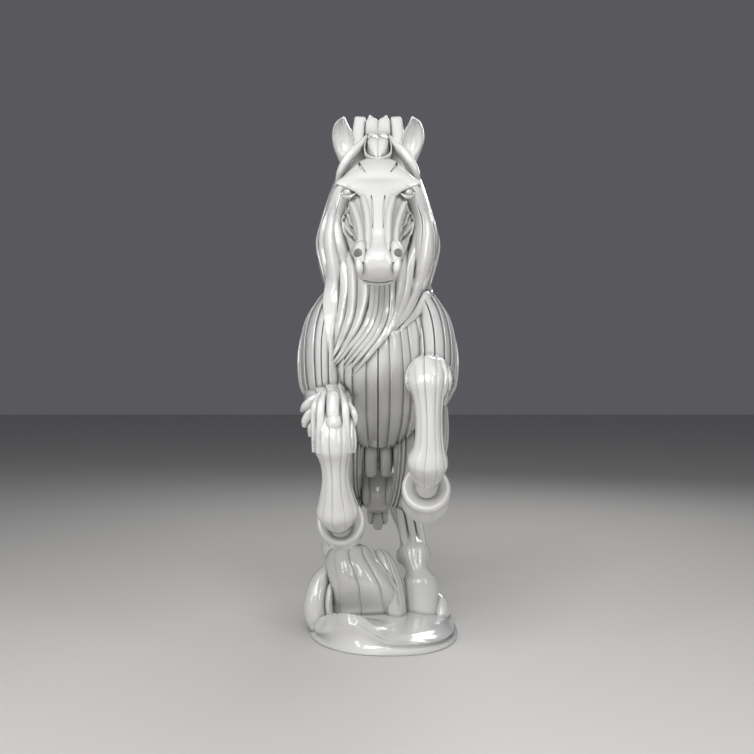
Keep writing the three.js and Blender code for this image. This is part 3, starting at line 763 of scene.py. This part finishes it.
# %% [markdown]
# The tail arches off the croup and curls forward between the hind legs, where it ends in two tiers
# of locks, the outer one cut off above the inner one. One skin makes the arch, and the tiers are
# laid in front of its end, because a single skin can't step back under itself.

# %% Tail
TAIL = [
    [0, 82, 126, 7, 8], [0, 96, 131, 8, 8], [0, 108, 122, 10, 9], [0, 112, 104, 11, 11],
    [0, 107, 88, 11, 11], [0, 97, 74, 10, 10.4], [0, 88, 62, 7.4, 8.4], [0, 83, 54, 4.6, 5],
    [0, 81.6, 50, 1, 1.4],
]
TAIL_FOLD = [
    [0, 104, 84, 8, 4], [0, 88, 82, 10.6, 5], [0, 76, 77.6, 11.2, 5.5], [0, 70, 70, 11, 6],
    [0, 71, 62, 9.4, 6], [0, 75, 57, 7.6, 4],
]
made.append(skin(limb(TAIL), slatted_ring(8), 44, lift=1.4))
made.append(skin(limb(TAIL_FOLD), slatted_ring(4), 34, lift=1.3))
print("with the tail:", len(made), "skins")

# %% Locks at the end of the tail, rows [x, half width, lowest z]
TAIL_LOBES = [[-8.6, 3, 61], [0, 6.2, 57.6], [8.6, 3, 61]]
TAIL_TIP = [[-4.6, 2.3, 48], [0, 3.8, 44.4], [4.6, 2.3, 48]]
for x, wide, low in TAIL_LOBES:
    rows = [
        [x, 80, 82, 0.7 * wide, 3],
        [0.96 * x, 70, 76, wide, 4.4],
        [0.86 * x, 66.6, 68, wide, 4.4],
        [0.8 * x, 68, low + 2, 0.86 * wide, 4],
        [0.78 * x, 70, low, 0.4 * wide, 2],
    ]
    made.append(skin(limb(rows), 18, 26, corner=0.8))
for x, wide, low in TAIL_TIP:
    rows = [
        [x, 84, 66, wide, 6],
        [x, 79, 60, wide, 5],
        [x, 77, low + 5, wide, 4.6],
        [x, 79, low + 1, 0.8 * wide, 3.6],
        [x, 80.6, low, 0.3 * wide, 1.4],
    ]
    made.append(skin(limb(rows), 18, 26, corner=0.85))
print("with its locks:", len(made), "skins")

# %% [markdown]
# Under the belly, in the shade between the thighs, hang four round-topped tongues. They could be
# cut into the trunk as grooves, but each has a rounded end of its own, so they are four short boxy
# skins side by side, drawn once and moved to their places.

# %% Tongues between the thighs, rows [x, y, half width]
THIGH_TONGUES = [[-13.4, 38, 4.1], [-4.3, 42, 4.3], [5, 44, 4.3], [13.6, 38, 4.3]]
for x, y, wide in THIGH_TONGUES:
    rows = [
        [x, y + 2, 103.4, 0.8, 2],
        [x, y, 101.6, 0.8 * wide, 5],
        [x, y, 97, wide, 7],
        [x, y + 6, 90, wide, 8],
        [x, y + 11, 83.6, 0.94 * wide, 6],
        [x, y + 13, 80.6, 0.5 * wide, 3],
    ]
    made.append(skin(limb(rows), 20, 24, corner=0.75))
print("with the tongues:", len(made), "skins")

# %% [markdown]
# The base is a drift: a low swell with two S-shaped ridges at the front, the lip at the rim and one
# further in, each with a soft back and a steep front. It could be sculpted from a disc, but its
# height is easy to work out from how near a point is to each ridge, and then it stays smooth.

# %% Height of the drift
BASE_WIDTH, BASE_DEPTH = 83, 117
BASE_MIDDLE = np.array([2.0, 9.0])
LIP_SHARE = 0.955  # how far out the lip runs, as a share of the way to the rim
LIP_BACK_SHARE = 0.79  # where the lip's soft back starts
BACK_RIM = 5.0  # height of the rim behind the lip
# Height of the lip along the front, from the horse's right to its left.
LIP_X = [-36, -27, -20.6, -14.4, -8.7, -2.6, 2, 7.6, 22, 41]
LIP_HEIGHT = [2, 6.6, 11.6, 14.4, 13.2, 9.6, 7, 5.6, 5, 3.4]
UPPER_RIDGE = [
    [-33, -10, 9], [-28, -15, 12.4], [-25, -19, 14.2], [-17.5, -25, 15.8], [-10, -27.4, 14.8],
    [-4.2, -32, 12], [-0.5, -36, 9.2], [5, -39, 7], [14, -41, 5.6],
]
RIDGE_FRONT, RIDGE_BACK = 5.0, 16.0  # how far the ridge's steep front and soft back reach
RIDGE_SAMPLES = 90
RIDGE_BEND = 1.2  # above 1 hollows the slopes of the ridge
SWELL_RIM, SWELL_TOP = 5.5, 5  # height of the swell at the rim, and what its middle adds
TROUGH = 7.5  # depth of the trough between the ridges, on the horse's right
# Where the lip and the trough start, and how far they take to reach their full size.
LIP_Y, LIP_RUN = 12, 24
TROUGH_X, TROUGH_X_RUN = -12, 14
TROUGH_Y, TROUGH_Y_RUN = 4, 30


def eased(v):
    """0 to 1 with a soft start and a soft end."""
    v = np.clip(v, 0, 1)
    return v * v * (3 - 2 * v)


def drift_height(x, y, share):
    """Height of the drift's top inside the lip. Share is how near a point is to the rim."""
    lip = BACK_RIM + (np.interp(x, LIP_X, LIP_HEIGHT) - BACK_RIM) * eased((LIP_Y - y) / LIP_RUN)
    trough = TROUGH * eased((TROUGH_X - x) / TROUGH_X_RUN) * eased((TROUGH_Y - y) / TROUGH_Y_RUN)
    swell = SWELL_RIM + SWELL_TOP * (1 - share**2) - trough
    height = swell + (lip - swell) * eased((share - LIP_BACK_SHARE) / (LIP_SHARE - LIP_BACK_SHARE))
    line = through(UPPER_RIDGE, np.linspace(0, 1, RIDGE_SAMPLES))
    dx, dy = x[..., None] - line[:, 0], y[..., None] - line[:, 1]
    away = np.hypot(dx, dy)
    near = away.argmin(axis=-1)
    in_front = np.take_along_axis(dy, near[..., None], -1)[..., 0] < 0
    fall = np.clip(1 - away.min(axis=-1) / np.where(in_front, RIDGE_FRONT, RIDGE_BACK), 0, 1)
    return height + np.clip(line[near, 2] - height, 0, None) * fall**RIDGE_BEND


print("the lip is", min(LIP_HEIGHT), "to", max(LIP_HEIGHT), "mm high")

# %% [markdown]
# The drift is a round sheet: rows of points from the middle out to the lip, then down a wall that
# curves in under the lip and out again to the foot, and back to the middle along the flat
# underside. That makes it the same kind of grid as the other skins, so the same step closes it.

# %% The drift as a closed skin
BASE_CORNER, BASE_SKEW = 0.84, 0.06
WALL = [(0.951, 0.86), (0.93, 0.64), (0.928, 0.42), (0.944, 0.22), (0.972, 0.07)]  # share out, share up
FOOT = 0.7  # height of the wall's foot
INWARD = 0.8  # below 1 sets the rings closer together towards the lip


def base_points(around=200, rings=52):
    """Points of the drift, one row for each ring from the middle outwards."""
    angle = np.linspace(0, 2 * np.pi, around + 1)
    top = np.linspace(0, 1, rings) ** INWARD * LIP_SHARE
    shares = np.concatenate([top, [share for share, _ in WALL], [1, 1, 0]])
    x_out = BASE_WIDTH / 2 * rounded(np.cos(angle), BASE_CORNER)
    y_out = -BASE_DEPTH / 2 * rounded(np.sin(angle), BASE_CORNER)
    x = BASE_MIDDLE[0] + shares[:, None] * (x_out - BASE_SKEW * y_out)
    y = BASE_MIDDLE[1] + shares[:, None] * y_out
    z = drift_height(x, y, np.minimum(shares, LIP_SHARE)[:, None] * np.ones_like(x))
    for row, (_, part) in enumerate(WALL, rings):
        z[row] = FOOT + (z[rings - 1] - FOOT) * part
    z[-3] = FOOT
    z[-2:] = 0
    return np.stack([x, y, z], axis=2)


base = rolled(base_points())
made.append(base)
print("base:", len(base.data.polygons), "faces")

# %% [markdown]
# A wave rises in front of the right hind leg and leans out over the drift. Its face is five broad
# planks. Planks laid on a round core broke up into crumbs, so the wave is one skin whose ring has a
# raised edge at each crease, and a fin closes it on the side of the standing leg.

# %% Wave
WAVE = [
    [2, 46.4, 12, 46, 5], [-4, 46.8, 17, 40, 11], [-11, 43, 20, 33, 14], [-16, 36, 20, 26, 16.7],
    [-17, 28, 20, 20, 18.7], [-13, 20, 20, 14, 20.3], [-7, 13, 20, 8, 21.3], [-4, 6, 20, 4, 21.5],
]
WAVE_DRIFT = [-14, -14.4, -14.2, -10.8, -7.4, -6.2, -5, -5]
WAVE_EDGES = [-90, -38, -4, 26, 56, 95, 150, 210, 270]
WAVE_FLANK = [
    [-1, 6, 42, 2.4, 5], [2.5, 4, 38.6, 4.4, 8], [6, 2, 31, 5.4, 10], [8.6, 2, 22, 5.8, 12],
    [10, 2, 8, 6.4, 13],
]
FLANK_EDGES = [-90, 20, 90, 180, 270]
wave = profile(WAVE, WAVE_DRIFT)
made.append(skin(wave, creased_ring(WAVE_EDGES), 44, corner=0.9, lift=1.5, fade=10, twist=-0.1))
made.append(skin(limb(WAVE_FLANK), creased_ring(FLANK_EDGES), 36, lift=1.2))
print("with the wave:", len(made), "skins")

# %% [markdown]
# Beside the wave a curved horn of snow stands on the outline with a thin fold inside it, and on the
# other side a small tuft leans on the hoof. They could be shaped from spheres, but they are long and
# bent like the limbs, so they are skins with plain, smooth rings.

# %% Horn, fold and tuft
HORN = [
    [-31, -6, 4, 6.6, 5], [-33.8, -6, 10, 6.6, 6], [-34.4, -6, 16, 6.2, 6.4], [-33.6, -4, 22, 6, 6.4],
    [-31.6, -1, 28, 5, 5.8], [-28.6, 2, 33, 3.2, 4.2], [-26, 4, 37.4, 0.8, 1.2],
]
INNER_FOLD = [
    [-26, -8, 8, 2, 4], [-27, -7, 16, 2.2, 5], [-26.4, -5, 23, 2, 4.4], [-25.4, -2, 28, 0.8, 1.6],
]
TUFT = [
    [34, 2, 3, 2, 3], [35.6, 7, 7, 4.6, 6], [35.4, 12, 11, 4.8, 6], [33.6, 16, 14.4, 3, 4],
    [31.6, 18, 15.6, 0.8, 1.4],
]
for rows in (HORN, INNER_FOLD, TUFT):
    made.append(skin(limb(rows), 32, 28))
print("all:", len(made), "skins")

# %% [markdown]
# The real statuette is cast in one piece, so all the skins become one solid: a union over them,
# then a difference with the cuts. Joining the objects without a union would keep every hidden
# surface inside. The Manifold solver is quick with many closed skins in one collection.

# %% Join and cut
def gathered(name, things):
    """Objects moved into a collection of their own, which a Boolean modifier can use."""
    group = bpy.data.collections.new(name)
    bpy.context.scene.collection.children.link(group)
    for thing in things:
        bpy.context.scene.collection.objects.unlink(thing)
        group.objects.link(thing)
    return group


def combined(target, group, operation):
    """Join the group to the target or cut it away, and then remove the group."""
    only(target)
    modifier = target.modifiers.new(operation.lower(), "BOOLEAN")
    modifier.operation = operation
    modifier.solver = "MANIFOLD"
    modifier.operand_type = "COLLECTION"
    modifier.collection = group
    bpy.ops.object.modifier_apply(modifier=modifier.name)
    for thing in list(group.objects):
        bpy.data.objects.remove(thing)
    bpy.data.collections.remove(group)


SHARP_EDGE = 34  # degrees between faces, above which an edge stays sharp
statuette = made[0]
combined(statuette, gathered("skins", made[1:]), "UNION")
print("joined:", len(statuette.data.polygons), "faces")
combined(statuette, gathered("cuts", cuts), "DIFFERENCE")
statuette.name = "rearing_horse"
only(statuette)
bpy.ops.object.shade_smooth_by_angle(angle=math.radians(SHARP_EDGE))
print("cut:", len(statuette.data.polygons), "faces")

# %% [markdown]
# The finish needs a few sums on node sockets. Adding each Math node by hand hides the sum, so a
# small class wraps a socket: an expression on wires adds the nodes, and one method adds any other
# node from its type, its settings and its values or links.

# %% A small class for shader maths
class Wire:
    """An output socket that can be used in a Python expression."""

    tree = None

    def __init__(self, socket):
        self.socket = socket

    @classmethod
    def node(cls, kind, settings=None, values=None, output=0):
        """A node of a type, with its settings first and then its values or links."""
        node = cls.tree.nodes.new(kind)
        for name, value in (settings or {}).items():
            setattr(node, name, value)
        for name, value in (values or {}).items():
            cls.give(node.inputs[name], value)
        return cls(node.outputs[output])

    @classmethod
    def give(cls, socket, value):
        """Set an input socket to a value, or link a wire to it."""
        if isinstance(value, Wire):
            cls.tree.links.new(value.socket, socket)
        else:
            socket.default_value = value

    def sum(self, operation, first, second):
        return self.node("ShaderNodeMath", {"operation": operation}, {0: first, 1: second})

    def __add__(self, other):
        return self.sum("ADD", self, other)

    def __radd__(self, other):
        return self.sum("ADD", other, self)

    def __mul__(self, other):
        return self.sum("MULTIPLY", self, other)

    def __rmul__(self, other):
        return self.sum("MULTIPLY", other, self)

    def __pow__(self, other):
        return self.sum("POWER", self, other)

    def __rpow__(self, other):
        return self.sum("POWER", other, self)


print("wires can be added, multiplied and raised to a power")

# %% [markdown]
# The statuette is cast in white resin with a clear gloss over it. Its creases get painted shade, a
# darker colour that stands in for the shade in them. It could be painted by hand, but ambient
# occlusion measures how closed in each place is, and the colour is mixed by that.

# %% White resin, with painted shade in the creases
# Painted shade in the creases: how far from a crease it reaches, how strongly it darkens, and its grey.
PAINTED_SHADE_REACH = 0.0022  # metres from a crease that the dark reaches
PAINTED_SHADE_POWER = 1.15  # above 1 darkens half-open places
PAINTED_SHADE_GREY = (0.2, 0.205, 0.21, 1)
RESIN_WHITE = (0.64, 0.635, 0.62, 1)
MIX_A, MIX_B, MIX_RESULT = 6, 7, 2  # the colour sockets of a Mix node
white = bpy.data.materials.new("gloss_white_resin")
white.use_nodes = True
Wire.tree = white.node_tree
surface = white.node_tree.nodes["Principled BSDF"]
openness = Wire.node("ShaderNodeAmbientOcclusion", {"samples": 6}, {"Distance": PAINTED_SHADE_REACH}, output="AO")
# The base colour turns from resin white to grey where ambient occlusion is low: painted shade in the
# creases.
colour_with_painted_shade = Wire.node(
    "ShaderNodeMix",
    {"data_type": "RGBA"},
    {0: openness**PAINTED_SHADE_POWER, MIX_A: PAINTED_SHADE_GREY, MIX_B: RESIN_WHITE},
    output=MIX_RESULT,
)
Wire.give(surface.inputs["Base Color"], colour_with_painted_shade)
print("colour:", len(white.node_tree.nodes), "nodes")

# %% [markdown]
# A cast gloss is never quite even. Soft clouds of noise change its roughness a little, and a much
# finer grain gives a faint bump. Both read Object coordinates, so the pattern stays on the piece.
# Real edges are softened by the thick coat, which a Bevel node shows without more geometry.

# %% Gloss, grain and softened edges
CLOUD_SCALE, GRAIN_SCALE = 70.0, 900.0
SMOOTHEST, CLOUDED = 0.14, 0.08  # roughness, and what clouds add
SOFT_EDGE = 0.0004  # metres
where = Wire.node("ShaderNodeTexCoord", output="Object")
clouds = {"Vector": where, "Scale": CLOUD_SCALE, "Detail": 2.0}
grains = {"Vector": where, "Scale": GRAIN_SCALE, "Detail": 1.0}
cloud = Wire.node("ShaderNodeTexNoise", values=clouds, output="Fac")
grain = Wire.node("ShaderNodeTexNoise", values=grains, output="Fac")
softened = Wire.node("ShaderNodeBevel", {"samples": 4}, {"Radius": SOFT_EDGE}, output="Normal")
relief = Wire.node(
    "ShaderNodeBump",
    values={"Strength": 0.06, "Distance": 0.0004, "Height": grain, "Normal": softened},
    output="Normal",
)
Wire.give(surface.inputs["Roughness"], SMOOTHEST + CLOUDED * cloud)
Wire.give(surface.inputs["Normal"], relief)
surface.inputs["Coat Weight"].default_value = 0.9
surface.inputs["Coat Roughness"].default_value = 0.06
statuette.data.materials.clear()
statuette.data.materials.append(white)
print("resin:", len(white.node_tree.nodes), "nodes")

# %% [markdown]
# The frame has to know what the piece is: it rides on the part's only body, stands for the part's
# only node, and wears its gloss white.

# %% Tell the frame about the piece
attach(statuette, "root")
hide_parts(NODE)
print("rides on root, in place of", NODE)

# %% [markdown]
# The statuette stands on a plain pale floor. A curved backdrop would hide the horizon, but a wide
# plane is enough, and it lies a hair below the base so that the two surfaces don't flicker.

# %% Floor
FLOOR_GAP = 0.0002  # metres
bpy.ops.object.select_all(action="DESELECT")
bpy.ops.mesh.primitive_plane_add(size=6, location=(0, 0, LOW.z - FLOOR_GAP))
floor = bpy.context.object
floor.name = "floor"
paint = bpy.data.materials.new("pale_floor")
paint.use_nodes = True
paint.node_tree.nodes["Principled BSDF"].inputs["Base Color"].default_value = (0.6, 0.59, 0.57, 1)
paint.node_tree.nodes["Principled BSDF"].inputs["Roughness"].default_value = 0.7
floor.data.materials.append(paint)
print("floor at", round(LOW.z - FLOOR_GAP, 4))

# %% [markdown]
# A gloss shows the shape of its lights, so they are soft boxes, as in a studio. A big one above and
# in front lights the body, two narrow upright ones draw long highlights down the planks of both
# sides, a small one fills the front, and one from behind parts the mane from the background.

# %% Lights
MIDDLE = Vector(placed([0, 0, 140.5]))


def soft_light(name, place, size, power, tall=None):
    """A soft box that faces the middle of the statuette. Its place is in drawn millimetres."""
    bpy.ops.object.light_add(type="AREA", location=Vector(placed(place)))
    light = bpy.context.object
    light.name = name
    light.data.shape = "RECTANGLE"
    light.data.size = size
    light.data.size_y = tall or size
    light.data.energy = power
    light.rotation_euler = (MIDDLE - light.location).to_track_quat("-Z", "Y").to_euler()


soft_light("key_light", (-60, -590, 600), 0.5, 5.1)
soft_light("left_strip", (-420, -440, 330), 0.05, 0.8, tall=0.5)
soft_light("right_strip", (420, -420, 350), 0.05, 0.8, tall=0.5)
soft_light("front_fill", (0, -900, 330), 0.12, 0.3)
soft_light("back_light", (160, 480, 520), 0.3, 1.2)
bpy.context.scene.view_settings.view_transform = "Standard"
world = bpy.data.worlds.new("studio")
world.use_nodes = True
world.node_tree.nodes["Background"].inputs["Color"].default_value = (0.1, 0.1, 0.11, 1)
bpy.context.scene.world = world

# %% [markdown]
# The camera looks straight at the horse from the front at half its height, close enough for the
# head and the forelegs to look larger than the rump, as they do to someone who stands before it.

# %% Camera
CAMERA_PLACE = [-0.5, -525, 140.5]
bpy.ops.object.camera_add(location=Vector(placed(CAMERA_PLACE)), rotation=(math.radians(90), 0, 0))
camera = bpy.context.object
camera.data.lens = 45.1
bpy.context.scene.camera = camera
print("camera at", [round(v, 3) for v in camera.location])
